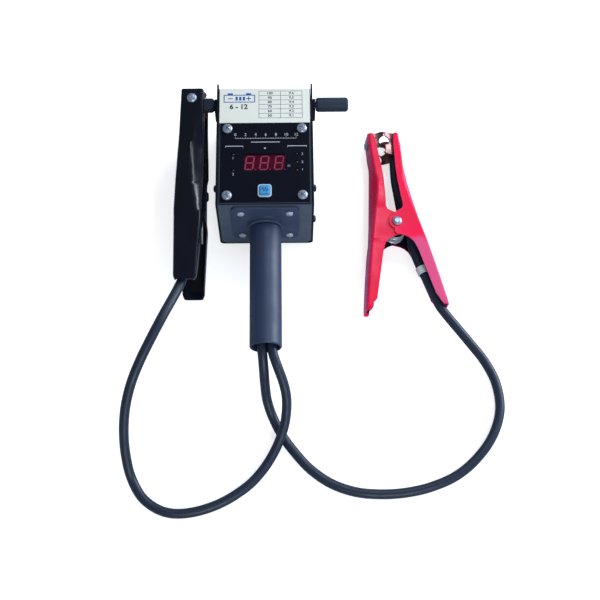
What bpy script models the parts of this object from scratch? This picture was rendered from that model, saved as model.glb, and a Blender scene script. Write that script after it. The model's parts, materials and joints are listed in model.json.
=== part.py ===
"""A digital load tester lying on its back: a folded steel box with a black fascia, a tube
handle that two cables leave, and two sprung jaw clamps, one of them biting a parking peg.

Lengths are millimetres; make() turns them into metres. X points right, Y towards the top
of the box and Z out of the fascia. The origin is the middle of the box's back face."""

import math

import bmesh
import bpy
import numpy as np
from mathutils import Matrix, Vector

# Box
BOX_W, BOX_H, BOX_D = 84.0, 114.0, 80.0
WALL = 1.5
BEND = 4.0
GAP = 0.3
EAR = 4.0
FASCIA_T = 1.2
LABEL_T = 0.9
SLOT_L, SLOT_W, SLOT_PITCH = BOX_H * 0.228, 3.2, BOX_D * 0.1

# Fascia
SCREW_X, SCREW_HIGH, SCREW_LOW = BOX_W / 2 - 9.7, BOX_H / 2 - 41.2, -BOX_H / 2 + 8.3
FASCIA_TOP = BOX_H / 2 - 35.3
LENS_W, LENS_H, LENS_Y = BOX_W * 0.4333, 15.6, -BOX_H * 0.1447
LED_R, LED_X = 1.5, BOX_W / 2 - 14.5
RESULT_LED_Y = (-BOX_H * 0.079, -BOX_H * 0.1474, -BOX_H * 0.2132)
STATE_LED_Y = (-BOX_H * 0.0807, -BOX_H * 0.214)
WINDOW_LOW = -BOX_H * 0.2982
BUTTON_Y, BEZEL_SIDE, CAP_SIDE = -BOX_H * 0.3912, 11.8, 9.0
CAP_PROUD, BUTTON_TRAVEL = 3.6, 1.0

# Circuit board
BOARD_T, BOARD_BELOW, BOARD_X = 1.6, 10.3, BOX_W / 2 - 12.5
BOARD_LOW, BOARD_HIGH = -BOX_H / 2 + 6.0, BOX_H * 0.0526
SWITCH_SIDE, SWITCH_H = 12.0, 4.3

# Handle
HANDLE_Z, HANDLE_R, HANDLE_WALL, HANDLE_L = BOX_D * 0.59, 13.7, 1.8, 109.5
FLANGE_W, FLANGE_H, FLANGE_T, FLANGE_BEND = 58.0, BOX_D * 0.7425, 2.5, 5.0
BOSS_R, BOSS_L, SPIGOT_L, BORE_R = 15.2, 4.5, 19.0, 9.0
FLANGE_SCREW = FLANGE_W / 2 - 8.2
CABLE_R = 4.15

# Pegs
PEG_Y, PEG_Z, PEG_R, PEG_L = BOX_H / 2 - 10.3, BOX_D - 12.0, 6.4, 28.9
BASE_T, BASE_W, BASE_H, BASE_DROP = 2.4, 11.0, 25.0, 8.0

# Clamps
SHEET = 1.2
CORNER = 2.4
TIP, CABLE_TAIL, MOVING_TAIL = 94.0, -80.0, -82.7
PIVOT_EAR = 7.5
CABLE_HALF, MOVING_HALF, JAW_HALF = 12.4, 10.9, 8.2
RIVET_R, RIVET_HEAD_R, RIVET_HEAD_H = 2.5, 4.3, 1.9
JAW_RIVET = 85.2
JAW_TIP, JAW_BACK, JAW_SHEET = 94.8, 12.4, 1.4
JAW_FLARE, JAW_FLARE_FROM = 3.0, 6.0
NOTCH, NOTCH_R = 85.4, 4.8
MOVING_JAW_END, CABLE_JAW_END = 80.1, 71.4
HOLLOW, HOLLOW_R = (-4.7, 76.8), 4.8
COIL_R, WIRE_R, COIL_HALF, COIL_TURNS, LEG = 8.5, 0.9, 7.0, 4, -34.0
COIL_AT = (-0.6, -4.7)
STRAP_T, STRAP_L, STRAP_AT = 0.8, 7.0, -44.0
PARKED_OPEN = math.radians(3.3)

FRONT = BOX_D
COVER_FRONT = FRONT - FASCIA_T - GAP
COVER_X = BOX_W / 2 - WALL - GAP
END = BOX_H / 2
BOARD_TOP = FRONT - BOARD_BELOW
CUT = (FRONT - 10.0, FRONT + 10.0)
FLANGE_BACK = -END - GAP
FLANGE_FACE = FLANGE_BACK - FLANGE_T
TUBE_TOP = FLANGE_FACE - BOSS_L - GAP
TUBE_END = TUBE_TOP - HANDLE_L
TERMINAL_Y = -END + 14.0
TERMINAL_T = 6.0


def clear_scene():
    for old in list(bpy.data.objects):
        bpy.data.objects.remove(old, do_unlink=True)


def material(name, colour, metallic=0.0, roughness=0.5):
    made = bpy.data.materials.new(name)
    made.use_nodes = True
    shader = made.node_tree.nodes["Principled BSDF"]
    shader.inputs["Base Color"].default_value = (*colour, 1.0)
    shader.inputs["Metallic"].default_value = metallic
    shader.inputs["Roughness"].default_value = roughness
    return made


def rounded(width, height, radius, centre=(0.0, 0.0), steps=4):
    """The outline of a rectangle with round corners."""
    points = []
    for corner in range(4):
        turn = math.pi / 2 * corner
        sx, sy = (1, 1, -1, -1)[corner], (-1, 1, 1, -1)[corner]
        cx = centre[0] + sx * (width / 2 - radius)
        cy = centre[1] + sy * (height / 2 - radius)
        for step in range(steps + 1):
            angle = turn - math.pi / 2 + math.pi / 2 * step / steps
            points.append((cx + radius * math.cos(angle), cy + radius * math.sin(angle)))
    return points


def ribbon(path, thickness):
    """The outline of a sheet whose one face follows the path and whose other lies to its left."""
    path = [Vector(p) for p in path]
    inner = []
    for i, here in enumerate(path):
        before = (here - path[i - 1]).normalized() if i else None
        after = (path[i + 1] - here).normalized() if i + 1 < len(path) else None
        before, after = before or after, after or before
        normal = Vector((-before.y, before.x)) + Vector((-after.y, after.x))
        normal.normalize()
        lean = normal.dot(Vector((-after.y, after.x)))
        inner.append(here + normal * thickness / lean)
    return [tuple(p) for p in path + inner[::-1]]


def bend(centre, radius, start, stop, steps=4):
    """Points on an arc, its angles in degrees."""
    angles = [math.radians(start + (stop - start) * i / steps) for i in range(steps + 1)]
    return [(centre[0] + radius * math.cos(a), centre[1] + radius * math.sin(a)) for a in angles]


def solid(outline, low, high, axis="Z"):
    """The outline pushed along an axis. It is drawn in YZ, XZ or XY for X, Y or Z."""
    order = {"X": (2, 0, 1), "Y": (0, 2, 1), "Z": (0, 1, 2)}[axis]
    mesh = bmesh.new()
    rings = []
    for height in (low, high):
        ring = []
        for a, b in outline:
            triple = (a, b, height)
            ring.append(mesh.verts.new([triple[k] for k in order]))
        rings.append(ring)
    mesh.faces.new(rings[0])
    mesh.faces.new(rings[1])
    for i in range(len(outline)):
        j = (i + 1) % len(outline)
        mesh.faces.new((rings[0][i], rings[0][j], rings[1][j], rings[1][i]))
    bmesh.ops.recalc_face_normals(mesh, faces=mesh.faces)
    return mesh


def block(x, y, z):
    outline = [(x[0], y[0]), (x[1], y[0]), (x[1], y[1]), (x[0], y[1])]
    return solid(outline, z[0], z[1])


def turned(profile, steps=24, hollow=False):
    """A lathe shape about Z. The profile lists (radius, height); a hollow one is a loop."""
    mesh = bmesh.new()
    ring = [mesh.verts.new((r, 0.0, h)) for r, h in profile]
    pairs = list(zip(ring, ring[1:] + ring[:1] if hollow else ring[1:]))
    edges = [mesh.edges.new(pair) for pair in pairs]
    bmesh.ops.spin(
        mesh, geom=ring + edges, cent=(0, 0, 0), axis=(0, 0, 1),
        angle=2 * math.pi, steps=steps, use_merge=True,
    )
    bmesh.ops.remove_doubles(mesh, verts=mesh.verts, dist=1e-4)
    bmesh.ops.recalc_face_normals(mesh, faces=mesh.faces)
    return mesh


def rod(radius, low, high, steps=20):
    return turned([(0, low), (radius, low), (radius, high), (0, high)], steps)


def moved(mesh, place):
    bmesh.ops.transform(mesh, matrix=place, verts=mesh.verts)
    return mesh


def along(direction, at=(0, 0, 0)):
    """The matrix that takes the Z axis to a direction and the origin to a point."""
    turn = Vector(direction).to_track_quat("Z", "Y").to_matrix().to_4x4()
    return Matrix.Translation(at) @ turn


def together(meshes):
    """One mesh of several that keep clear of each other."""
    whole = bmesh.new()
    for mesh in meshes:
        part = bpy.data.meshes.new("part")
        mesh.to_mesh(part)
        mesh.free()
        whole.from_mesh(part)
        bpy.data.meshes.remove(part)
    return whole


def thing(name, mesh, place):
    data = bpy.data.meshes.new(name)
    bmesh.ops.scale(mesh, vec=(0.001, 0.001, 0.001), verts=mesh.verts)
    mesh.to_mesh(data)
    mesh.free()
    made = bpy.data.objects.new(name, data)
    bpy.context.scene.collection.objects.link(made)
    scaled = place.copy()
    scaled.translation = place.translation * 0.001
    made.matrix_world = scaled
    return made


def make(name, mesh, finish, place=Matrix.Identity(4), add=(), cut=()):
    """A named piece. Meshes to add or cut share the piece's own coordinates."""
    made = thing(name, mesh, place)
    made.data.materials.append(finish)
    for kind, tools in (("UNION", add), ("DIFFERENCE", cut)):
        for tool in tools:
            helper = thing(name + "_" + kind.lower(), tool, place)
            helper.hide_render = True
            helper.display_type = "WIRE"
            change = made.modifiers.new(kind.lower(), "BOOLEAN")
            change.operation = kind
            change.solver = "EXACT"
            change.object = helper
    return made


def screw(name, finish, place, head_r, head_h, shank_r, shank_l):
    """A pan-head screw. Its head stands on the plane Z = 0 of its place, less the gap."""
    low = GAP
    profile = [
        (0, low - shank_l), (shank_r * 0.7, low - shank_l), (shank_r, low - shank_l + shank_r * 0.5),
        (shank_r, low), (head_r, low), (head_r, low + head_h * 0.35),
        (head_r * 0.86, low + head_h * 0.78), (head_r * 0.5, low + head_h), (0, low + head_h),
    ]
    return make(name, turned(profile, 16), finish, place)


# The box
def slots():
    """Vent slots through both side walls."""
    cuts = []
    for row in range(5):
        for y in (-BOX_H * 0.149, BOX_H * 0.149):
            centre = (y, BOX_D * 0.275 + SLOT_PITCH * row)
            outline = rounded(SLOT_L, SLOT_W, SLOT_W / 2 - 0.01, centre, 3)
            cuts.append(solid(outline, -BOX_W, BOX_W, "X"))
    return cuts


def build_box(steel, paint):
    half = BOX_W / 2
    shell = (
        [(-half, FRONT)] + bend((-half + BEND, BEND), BEND, 180, 270)
        + bend((half - BEND, BEND), BEND, 270, 360) + [(half, FRONT)]
    )
    ear = [(END, -5), (END, FRONT - 9), (END + EAR, FRONT - 4), (END + EAR, FRONT + 5)]
    ear += [(END + 20, FRONT + 5), (END + 20, -5)]
    holes = slots()
    holes.append(moved(rod(2.8, -BOX_W, BOX_W, 16), along((1, 0, 0), (0, PEG_Y, PEG_Z))))
    for place in side_screw_places():
        holes.append(moved(rod(1.8, -10, 10, 16), place))
    make(
        "rear_housing", solid(ribbon(shell, WALL), -END, END + EAR, "Y"), steel,
        cut=[solid(ear, -BOX_W, BOX_W, "X"), together(holes)],
    )
    cover = [(END, WALL + GAP), (END, COVER_FRONT), (-END, COVER_FRONT), (-END, WALL + GAP)]
    tabs = [
        block((s * COVER_X, s * (COVER_X - WALL)), (-END + 0.2, -END + 26.0), (24.0, BOX_D - 5))
        for s in (-1, 1)
    ]
    chamfer = BEND - 0.4
    corner = [(COVER_X - chamfer, 0), (COVER_X + 1, 0), (COVER_X + 1, WALL + GAP + chamfer)]
    corner += [(COVER_X, WALL + GAP + chamfer), (COVER_X - chamfer, WALL + GAP)]
    corners = [solid([(s * x, z) for x, z in corner], -BOX_H, BOX_H, "Y") for s in (-1, 1)]
    windows = [
        block((-BOARD_X - 1, BOARD_X + 1), (WINDOW_LOW, BOARD_HIGH - 2), CUT),
        block((-8.5, 8.5), (BUTTON_Y - 8.4, BUTTON_Y + 8.4), CUT),
        moved(rod(BORE_R + 0.4, -5, 5, 32), along((0, 1, 0), (0, -END, HANDLE_Z))),
    ]
    for x, y in fascia_screw_places():
        windows.append(moved(rod(2.3, *CUT, 16), Matrix.Translation((x, y, 0))))
    for x, z in flange_screw_places():
        windows.append(moved(rod(1.8, -5, 5, 16), along((0, 1, 0), (x, -END, z))))
    for place in side_screw_places():
        windows.append(moved(rod(1.8, -10, 10, 16), place))
    for k in range(6):
        outline = rounded(28, SLOT_W, SLOT_W / 2 - 0.01, (0, SLOT_PITCH * (k + 2)), 3)
        windows.append(solid(outline, END - 5, END + 5, "Y"))
    make(
        "front_cover", solid(ribbon(cover, WALL), -COVER_X, COVER_X, "X"), paint,
        add=[together(tabs)], cut=[together(corners), together(windows)],
    )


def side_screw_places():
    """One screw holds the cover's tab on the left, and two hold it on the right."""
    high, low = (-END + 20.0, BOX_D - 10.0), (-END + 10.0, BOX_D * 0.375)
    spots = ((-1, *high), (1, *high), (1, *low))
    return [along((side, 0, 0), (side * BOX_W / 2, y, z)) for side, y, z in spots]


def fascia_screw_places():
    return [(s * SCREW_X, y) for y in (SCREW_HIGH, SCREW_LOW) for s in (-1, 1)]


def flange_screw_places():
    return [(s * FLANGE_SCREW, HANDLE_Z + t * (FLANGE_H / 2 - 8.1)) for t in (1, -1) for s in (-1, 1)]


def build_fascia(black, silver, bright, red, clear, board_green, blue, pale):
    low = FRONT - FASCIA_T
    bottom = -END + 0.6
    plate = rounded(BOX_W - 5.2, FASCIA_TOP - bottom, 1.0, (0, (FASCIA_TOP + bottom) / 2), 2)
    bosses = [
        moved(rod(2.4, BOARD_TOP + GAP, low + 0.5, 16), Matrix.Translation((x, y, 0)))
        for x in (3 - BOARD_X, BOARD_X - 3) for y in (BOARD_HIGH - 5, WINDOW_LOW + 3)
    ]
    holes = [
        solid(rounded(LENS_W + 2 * GAP, LENS_H + 2 * GAP, 0.8, (0, LENS_Y), 2), *CUT),
        solid(rounded(BEZEL_SIDE - 0.6, BEZEL_SIDE - 0.6, 2.4, (0, BUTTON_Y)), *CUT),
    ]
    leds = [("result_led_%d" % (i + 1), LED_X, y) for i, y in enumerate(RESULT_LED_Y)]
    leds += [("state_led_%d" % (i + 1), -LED_X + 0.2, y) for i, y in enumerate(STATE_LED_Y)]
    for _, x, y in leds:
        holes.append(moved(rod(LED_R + GAP, *CUT, 16), Matrix.Translation((x, y, 0))))
    for x, y in fascia_screw_places():
        holes.append(moved(rod(2.3, *CUT, 16), Matrix.Translation((x, y, 0))))
    make(
        "fascia_panel", solid(plate, low, FRONT), black,
        add=[together(bosses)], cut=[together(holes)],
    )
    label_low, label_high = FASCIA_TOP + 0.4, END - 0.4
    outline = rounded(BOX_W - 4.8, label_high - label_low, 0.8, (0, (label_low + label_high) / 2), 2)
    make("label_plate", solid(outline, low, low + LABEL_T), silver)
    for i, (x, y) in enumerate(fascia_screw_places()):
        spot = Matrix.Translation((x, y, FRONT)) @ Matrix.Rotation(0.3 + 0.5 * i, 4, "Z")
        screw("fascia_screw_%d" % (i + 1), bright, spot, 4.4, 3.0, 2.0, 9.0)
    lens_low = low - GAP
    lens = rounded(LENS_W, LENS_H, 0.6, (0, LENS_Y), 2)
    make("display_lens", solid(lens, lens_low, FRONT - 0.1), clear)
    face = rounded(LENS_W - 0.4, LENS_H - 0.4, 0.4, (0, LENS_Y), 1)
    make("display_module", solid(face, BOARD_TOP + GAP, lens_low - GAP), red)
    board = block((-BOARD_X, BOARD_X), (BOARD_LOW, BOARD_HIGH), (BOARD_TOP - BOARD_T, BOARD_TOP))
    make("circuit_board", board, board_green)
    for name, x, y in leds:
        foot, top = BOARD_TOP + GAP, FRONT + 0.3
        profile = [(0, foot), (LED_R + 0.4, foot), (LED_R + 0.4, foot + 1), (LED_R, foot + 1)]
        profile += [(LED_R, top - 0.9), (LED_R * 0.75, top - 0.3), (0, top)]
        make(name, moved(turned(profile, 14), Matrix.Translation((x, y, 0))), clear)
    build_button(blue, pale, black)


def build_button(blue, pale, black):
    centre = (0, BUTTON_Y)
    inside = CAP_SIDE + 2 * GAP
    rim = solid(rounded(BEZEL_SIDE, BEZEL_SIDE, 2.6, centre), FRONT + GAP, FRONT + 1.7)
    spigot = solid(rounded(BEZEL_SIDE - 1.2, BEZEL_SIDE - 1.2, 2.1, centre), FRONT - 2.6, FRONT + 1)
    hole = solid(rounded(inside, inside, 1.7, centre), *CUT)
    make("button_bezel", rim, pale, add=[spigot], cut=[hole])
    switch_top = BOARD_TOP + GAP + SWITCH_H
    side = SWITCH_SIDE / 2
    y = (BUTTON_Y - side, BUTTON_Y + side)
    make("button_switch", block((-side, side), y, (BOARD_TOP + GAP, switch_top)), black)
    low, high = switch_top + GAP + BUTTON_TRAVEL, FRONT + CAP_PROUD
    cap = solid(rounded(CAP_SIDE, CAP_SIDE, 1.5), low, high)
    top_edges = [e for e in cap.edges if all(abs(v.co.z - high) < 1e-5 for v in e.verts)]
    bmesh.ops.bevel(cap, geom=top_edges, offset=0.7, segments=2, affect="EDGES")
    made = make("test_button", moved(cap, Matrix.Translation((0, 0, -high))), blue)
    made.location = (0, BUTTON_Y * 0.001, high * 0.001)


def build_inside(nichrome, ceramic, phenolic):
    """The load that the test draws its current through, and where the cables end."""
    pitch, low, high = (BOX_W - 26.4) / 9, 14.5, BOX_D * 0.55
    path = []
    for k in range(10):
        x = (k - 4.5) * pitch
        ends = (low, high) if k % 2 == 0 else (high, low)
        path += [(x, ends[0]), (x, ends[1])]
    make("load_element", solid(ribbon(path, 1.2), -BOX_H * 0.193, BOX_H * 0.351, "Y"), nichrome)
    reach = pitch * 4.5
    for name, side in (("insulator_left", -1), ("insulator_right", 1)):
        x = sorted((side * (reach - 13), side * (reach + 1)))
        make(name, block(x, (-BOX_H * 0.158, BOX_H * 0.316), (WALL + GAP, low - GAP)), ceramic)
    reach = FLANGE_SCREW + 4.2
    low, high = HANDLE_Z - FLANGE_H / 2 + 2.5, HANDLE_Z + 14.8
    plate = block((-reach, reach), (TERMINAL_Y - TERMINAL_T, TERMINAL_Y), (low, high))
    holes = [
        moved(rod(1.8, -30, 30, 16), along((0, 1, 0), (x, TERMINAL_Y, z)))
        for x, z in flange_screw_places()[2:]
    ]
    make("terminal_board", plate, phenolic, cut=[together(holes)])


def build_handle(steel, grip, bright):
    plate = solid(
        rounded(FLANGE_W, FLANGE_H, FLANGE_BEND, (0, HANDLE_Z)), FLANGE_FACE, FLANGE_BACK, "Y"
    )
    turn = along((0, -1, 0), (0, 0, HANDLE_Z))
    face, top = -FLANGE_FACE, -TUBE_TOP
    inner = HANDLE_R - HANDLE_WALL
    boss = [
        (0, face - 0.8), (BOSS_R + 0.6, face - 0.8), (BOSS_R + 0.6, face + 0.4), (BOSS_R, face + 1),
        (BOSS_R, top - 1.2), (BOSS_R - 0.9, top - GAP), (inner - GAP, top - GAP),
        (inner - GAP, top + SPIGOT_L - 1), (inner - GAP - 1, top + SPIGOT_L), (0, top + SPIGOT_L),
    ]
    holes = [moved(rod(BORE_R, END - 10, END + 40, 32), turn)]
    for x, z in flange_screw_places():
        holes.append(moved(rod(1.8, -10, 10, 16), along((0, 1, 0), (x, -END, z))))
    make(
        "handle_flange", plate, steel,
        add=[moved(turned(boss, 40), turn)], cut=[together(holes)],
    )
    for i, (x, z) in enumerate(flange_screw_places()):
        length = 8.0 if i < 2 else 18.0
        spot = along((0, -1, 0), (x, FLANGE_FACE, z)) @ Matrix.Rotation(0.4 * i, 4, "Z")
        screw("flange_screw_%d" % (i + 1), bright, spot, 3.2, 2.2, 1.5, length)
    a, b = -TUBE_TOP, -TUBE_END
    tube = [
        (inner, a), (HANDLE_R - 0.9, a), (HANDLE_R, a + 0.9), (HANDLE_R, b - 0.9),
        (HANDLE_R - 0.6, b), (inner + 0.4, b), (inner, b - 0.6),
    ]
    make("handle_tube", moved(turned(tube, 40, hollow=True), turn), grip)


def build_pegs(steel, rubber, bright):
    wall = BOX_W / 2
    for name, side in (("left", -1), ("right", 1)):
        turn = along((side, 0, 0), (0, PEG_Y, PEG_Z))
        base_low = wall + GAP
        plate = rounded(BASE_W, BASE_H, 3, (PEG_Y - 0.5, PEG_Z - BASE_DROP), 3)
        ends = sorted((side * base_low, side * (base_low + BASE_T)))
        hole = moved(rod(2.8, wall - 10, wall + 10, 16), turn)
        make("peg_base_" + name, solid(plate, *ends, "X"), steel, cut=[hole])
        tip = base_low + BASE_T + GAP + PEG_L
        inner = wall - WALL
        bolt = [
            (0, inner - GAP - 3), (4.2, inner - GAP - 3), (4.2, inner - GAP), (2.5, inner - GAP),
            (2.5, tip - 3), (0, tip - 3),
        ]
        make("peg_bolt_" + name, moved(turned(bolt, 18), turn), bright)
        root = base_low + BASE_T + GAP
        sleeve = [
            (0, root), (PEG_R - 1.4, root), (PEG_R, root + 1.6), (PEG_R, tip - 2.2),
            (PEG_R - 0.7, tip - 0.7), (PEG_R - 2.2, tip), (0, tip),
        ]
        bore = moved(rod(2.8, root - 2, tip - 2.6, 28), turn)
        make("peg_sleeve_" + name, moved(turned(sleeve, 28), turn), rubber, cut=[bore])
    for i, place in enumerate(side_screw_places()):
        screw("side_screw_%d" % (i + 1), steel, place, 3.2, 2.1, 1.5, 6.0)


# Clamps. In a clamp's own frame the pivot is Z, the jaws lie towards Y and the arm that
# carries the cable lies towards X. Positive turns of the other arm open the jaws.
WEB = [(TIP, 14.6), (72, 14.9), (56, 14.1), (44, 13.3), (33, 14.6), (18, 17.6), (-8, 23.4)]
WEB += [(-25, 27.2), (-51, 32.2), (-75, 36.4), (MOVING_TAIL, 37.5)]
CROWN = [(TIP, 14.6), (70, 14.9), (-25, 27.2), (-26, 0)]
EDGE = [(TIP, 10.0), (86, 8.3), (57, 6.4), (44, 6.2), (27, 7.0), (17, 7.7), (13.5, 6.4)]
EDGE += [(9.5, -0.6), (PIVOT_EAR * 0.9, -PIVOT_EAR * 0.42)]
EDGE += [(-PIVOT_EAR * 0.9, -PIVOT_EAR * 0.42), (-10.5, -3.4), (-12.2, -1.5), (-13.0, 2.0)]
EDGE += [(-14.2, 5.6), (-16.2, 9.2), (-19.6, 12.4), (-25, 14.8), (-30, 16.3), (-74, 27.0)]
CABLE_END_CUT = [(10, 27.4), (7.5, 27.6), (3.5, 29.4), (1.5, 30.9), (0, 32.4)]
MOVING_END_CUT = [(10, 27.4), (7.5, 28.4), (5.5, 31.0), (1.5, 31.8), (0, 33.4)]


def read(points, where):
    """The value at a place along a profile that is listed from the tip to the tail."""
    places = [-p[0] for p in points]
    return float(np.interp(-where, places, [p[1] for p in points]))


def edge(where, tail):
    cut = CABLE_END_CUT if tail == CABLE_TAIL else MOVING_END_CUT
    if abs(where) < PIVOT_EAR * 0.9:
        return -math.sqrt(PIVOT_EAR**2 - where**2)
    if where < tail + cut[0][0]:
        return read(cut, where - tail)
    return read(EDGE, where)


def arm_ring(where, widest, tail):
    """One U-shaped section of an arm: its outer line, then its inner line back. The web is
    crowned where the cheeks are waisted."""
    half = [(TIP, 9.7), (60, 10.7), (36, 12.0), (22, 12.2), (16, widest), (-16, widest)]
    half += [(-24, 11.9), (-55, 10.5), (tail + 3, 9.7), (tail, 8.4)]
    width, web, lip = read(half, where), read(WEB, where), edge(where, tail)
    crown = max(0.0, read(CROWN, where) - web)

    def side(sheet):
        corner = (web - CORNER, width - CORNER)
        line = [(lip, width - sheet)] + bend(corner, CORNER - sheet, 90, 0, 2)
        bow = [(web - sheet + crown * 0.7, (width - CORNER) * 0.5), (web - sheet + crown, 0)]
        line += bow
        return line + [(v, -w) for v, w in line[-2::-1]]

    return side(0) + side(SHEET)[::-1]


def arm(name, finish, place, side, widest, tail):
    stops = {TIP, 86, 79, 72, 64, 57, 50, 44, 38, 33, 27, 22, 17, 13.5, 9.5, 0}
    stops |= {-10.5, -12.2, -13, -14.2, -16.2, -19.6, -25, -30, -40, -51, -63}
    stops |= {tail + back for back in (10, 7.5, 5.5, 3.5, 1.5, 0)}
    stops |= {PIVOT_EAR * s * f for s in (-1, 1) for f in (0.9, 0.7, 0.4)}
    mesh = bmesh.new()
    rings = []
    for where in sorted(stops):
        section = arm_ring(where, widest, tail)
        rings.append([mesh.verts.new((side * v, where, w)) for v, w in section])
    for near, far in zip(rings, rings[1:]):
        for i in range(len(near)):
            j = (i + 1) % len(near)
            mesh.faces.new((near[i], near[j], far[j], far[i]))
    mesh.faces.new(rings[0])
    mesh.faces.new(rings[-1])
    bmesh.ops.recalc_face_normals(mesh, faces=mesh.faces)
    holes = [rod(RIVET_R + GAP, -20, 20, 20)]
    holes.append(moved(rod(2.3, 9, 25, 16), along((side, 0, 0), (0, JAW_RIVET, 0))))
    return make(name, mesh, finish, place, cut=[together(holes)])


def teeth(top, bottom, count):
    """Saw teeth down the biting edge of a jaw."""
    step = (top - bottom) / count
    points = []
    for k in range(count):
        start = top - step * k
        points += [(GAP / 2, start), (GAP / 2, start - step * 0.45), (1.0, start - step * 0.75)]
    return points + [(GAP / 2, bottom)]


def jaw(name, finish, place, side, hooked):
    """A folded copper jaw: a base against the web and two toothed cheeks. The cable arm's
    jaw runs on past the other one and ends in a hooked hollow."""
    notch_top, notch_foot = NOTCH + NOTCH_R + 0.2, NOTCH - NOTCH_R - 0.2
    outline = [(JAW_BACK, JAW_TIP - 1.2), (3.4, JAW_TIP), (1.2, JAW_TIP - 0.4)]
    outline += teeth(JAW_TIP - 1, notch_top, 1)
    outline += bend((GAP / 2, NOTCH), NOTCH_R, 90, -90, 8)[1:-1]
    if hooked:
        outline += [(GAP / 2, notch_foot)] + bend(HOLLOW, HOLLOW_R, 38, -52, 5)
        outline += [(-2.4, CABLE_JAW_END + 1.2), (-1.2, CABLE_JAW_END + 0.2), (1.5, CABLE_JAW_END)]
        outline += [(JAW_BACK, CABLE_JAW_END)]
    else:
        outline += [(GAP / 2, notch_foot), (2.0, MOVING_JAW_END), (JAW_BACK, MOVING_JAW_END)]
    outline = [(side * v, u) for v, u in outline]
    flare = [(JAW_BACK + 1, JAW_HALF), (JAW_FLARE_FROM, JAW_HALF), (0, JAW_HALF + JAW_FLARE)]
    flare += [(-8, JAW_HALF + JAW_FLARE * 1.4)]
    beyond = [(v, 20) for v in (-8, JAW_BACK + 1)]
    inner = [(v, w - JAW_SHEET) for v, w in flare]
    inner[0] = (JAW_BACK - JAW_SHEET, inner[0][1])
    cuts = [inner + [(v, -w) for v, w in inner[::-1]]]
    cuts += [[(v, s * w) for v, w in flare + beyond] for s in (-1, 1)]
    cuts = [solid([(side * v, w) for v, w in cut], 50, 99, "Y") for cut in cuts]
    cuts.append(moved(rod(2.3, 9, 20, 16), along((side, 0, 0), (0, JAW_RIVET, 0))))
    return make(name, solid(outline, -15, 15), finish, place, cut=cuts)


def jaw_rivet(name, finish, place, side):
    seat = read(WEB, JAW_RIVET) + GAP + 0.1
    inner = JAW_BACK - JAW_SHEET - GAP
    profile = [
        (0, inner - 1.2), (2.6, inner - 1.2), (3.2, inner - 0.6), (3.2, inner), (2.0, inner),
        (2.0, seat), (4.2, seat), (4.2, seat + 0.7), (3.5, seat + 1.5), (2.0, seat + 2.1),
        (0, seat + 2.3),
    ]
    made = moved(turned(profile, 18), along((side, 0, 0), (0, JAW_RIVET, 0)))
    return make(name, made, finish, place)


def pivot_rivet(name, finish, place):
    low = CABLE_HALF + GAP
    upper = [
        (RIVET_R, low), (RIVET_HEAD_R, low), (RIVET_HEAD_R, low + 0.8),
        (RIVET_HEAD_R * 0.8, low + 1.7), (RIVET_HEAD_R * 0.42, low + RIVET_HEAD_H),
        (0, low + RIVET_HEAD_H),
    ]
    profile = [(r, -h) for r, h in upper[::-1]] + upper
    return make(name, turned(profile, 24), finish, place)


def tangent_angle(point, sign):
    """Where on the coil a straight leg to the point leaves it."""
    x, y = point
    return math.atan2(y, x) + sign * math.acos(COIL_R / math.hypot(x, y))


def wire(name, points, radius, finish, place=Matrix.Identity(4), smooth=2):
    """A round bar along the points, as a curve with filled ends."""
    data = bpy.data.curves.new(name, "CURVE")
    data.dimensions = "3D"
    data.bevel_depth = radius * 0.001
    data.bevel_resolution = smooth
    data.use_fill_caps = True
    line = data.splines.new("POLY")
    line.points.add(len(points) - 1)
    for spot, point in zip(line.points, points):
        spot.co = (*(Vector(point) * 0.001), 1.0)
    made = bpy.data.objects.new(name, data)
    bpy.context.scene.collection.objects.link(made)
    scaled = place.copy()
    scaled.translation = place.translation * 0.001
    made.matrix_world = scaled
    data.materials.append(finish)
    return made


def torsion_spring(name, finish, place, opened):
    """A loose coil hanging on the pivot, with a leg pressing on each arm's web."""
    centre = Vector(COIL_AT)
    reach = read(WEB, LEG) - SHEET - GAP - WIRE_R
    cable_end = Matrix.Rotation(-opened, 2) @ Vector((reach, LEG))
    moving_end = Matrix.Rotation(opened, 2) @ Vector((-reach, LEG))
    first = tangent_angle(cable_end - centre, 1)
    last = tangent_angle(moving_end - centre, -1) % (2 * math.pi) + 2 * math.pi * COIL_TURNS
    steps = 60
    points = [(cable_end.x, cable_end.y, COIL_HALF)]
    for k in range(steps + 1):
        angle = first + (last - first) * k / steps
        height = COIL_HALF * (1 - 2 * k / steps)
        spot = centre + Vector((math.cos(angle), math.sin(angle))) * COIL_R
        points.append((spot.x, spot.y, height))
    points.append((moving_end.x, moving_end.y, -COIL_HALF))
    return wire(name, points, WIRE_R, finish, place, 1)


def cable_path(lean, off_tail):
    """The cable's way up its arm, in the clamp's frame with the arm closed. It hangs well
    off the web between the strap and the pivot, where it rounds the spring's coil."""
    off_web = [(60, 6.2), (42, 6.4), (20, 6.6), (0, 7.2), (-20, 12.4), (-36, 12.2), (-50, 10.6)]
    off_web += [(CABLE_TAIL, off_tail)]
    path = []
    stops = (CABLE_TAIL, -71, -60, STRAP_AT - 5, STRAP_AT + 5, -29, -19, -8, 4, 20, 42)
    for where in stops + (CABLE_JAW_END - 0.4,):
        aside = lean * float(np.interp(where, (CABLE_TAIL, -71, -50, -38, 0), (1, 0.75, 0.4, 0.3, 0)))
        path.append(Vector((read(WEB, where) - read(off_web, where), where, aside)))
    return path


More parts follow.
